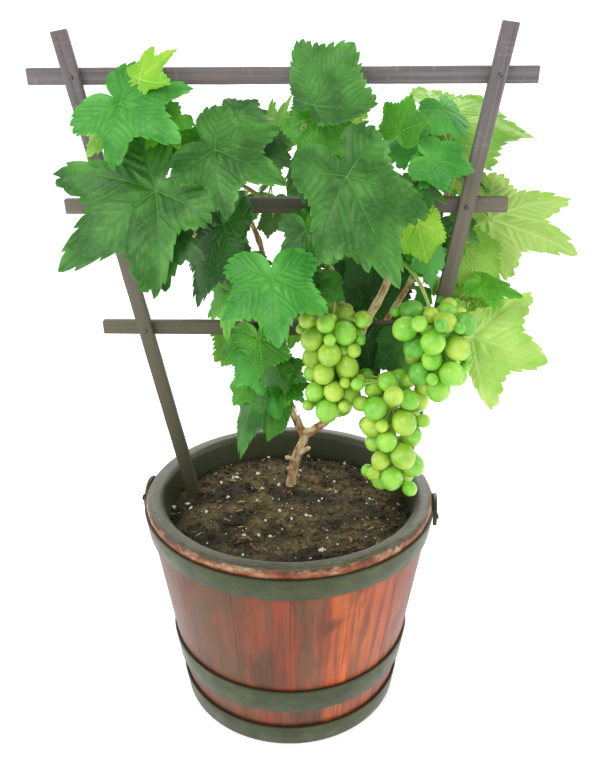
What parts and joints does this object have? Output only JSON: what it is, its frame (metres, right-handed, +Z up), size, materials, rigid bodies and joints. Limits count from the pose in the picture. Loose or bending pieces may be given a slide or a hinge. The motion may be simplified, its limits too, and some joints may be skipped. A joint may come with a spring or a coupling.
{
  "type": "potted grapevine",
  "caption": "Young grapevine with hanging bunches of green grapes, trained on a lath trellis and growing in a hooped wooden tub.",
  "frame": {"origin": "centre of the tub's flat underside", "axes": "+Z up along the tub's axis; -Y is the front, the side that the picture shows; +X to its right"},
  "size_m": [0.3841, 0.2322, 0.5204],
  "materials": {
    "stave_wood": "varnished red-brown staves, streaked along the grain, painted grey-green round the rim",
    "board_wood": "plain sawn board",
    "hoop_metal": "dark olive paint, worn and slightly dull",
    "handle_metal": "dark olive paint",
    "lath_wood": "weathered grey-brown lath, satin",
    "soil": "loose dark potting soil with pale grains, matte",
    "bark": "light brown peeling bark on the trunk, smoother on the canes",
    "grape": "unripe green berries with a pale bloom",
    "leaf": "green leaves, paler on young growth and undersides"
  },
  "bodies": {
    "root": {"stave_01": "stave_wood", "stave_02": "stave_wood", "stave_03": "stave_wood", "stave_04": "stave_wood", "stave_05": "stave_wood", "stave_06": "stave_wood", "stave_07": "stave_wood", "stave_08": "stave_wood", "stave_09": "stave_wood", "stave_10": "stave_wood", "stave_11": "stave_wood", "stave_12": "stave_wood", "stave_13": "stave_wood", "stave_14": "stave_wood", "stave_15": "stave_wood", "stave_16": "stave_wood", "bottom_board": "board_wood", "hoop_top": "hoop_metal", "hoop_middle": "hoop_metal", "hoop_foot": "hoop_metal", "handle_right": "handle_metal", "handle_left": "handle_metal", "trellis_leg_left": "lath_wood", "trellis_leg_right": "lath_wood", "trellis_bar_bottom": "lath_wood", "trellis_bar_middle": "lath_wood", "trellis_bar_top": "lath_wood", "soil": "soil", "trunk": "bark", "arm_right": "bark", "arm_left": "bark", "cane_right": "bark", "cane_middle": "bark", "cane_left_inner": "bark", "cane_left_outer": "bark", "cane_left_low": "bark", "cane_right_outer": "bark", "cane_right_low": "bark", "cane_back": "bark", "grapes_left": "grape", "grapes_right": "grape", "grapes_low": "grape", "shoot_left_high": "leaf", "shoot_left_wide": "leaf", "shoot_left_inner": "leaf", "shoot_left_hang": "leaf", "shoot_top": "leaf", "shoot_middle": "leaf", "shoot_low_middle": "leaf", "shoot_left_low": "leaf", "shoot_foot": "leaf", "shoot_right_high": "leaf", "shoot_right_inner": "leaf", "shoot_right_wide": "leaf", "shoot_right_low": "leaf", "shoot_right_hang": "leaf", "shoot_back_left": "leaf", "shoot_back_middle": "leaf", "shoot_back_right": "leaf", "shoot_back_low": "leaf"}
  },
  "joints": []
}
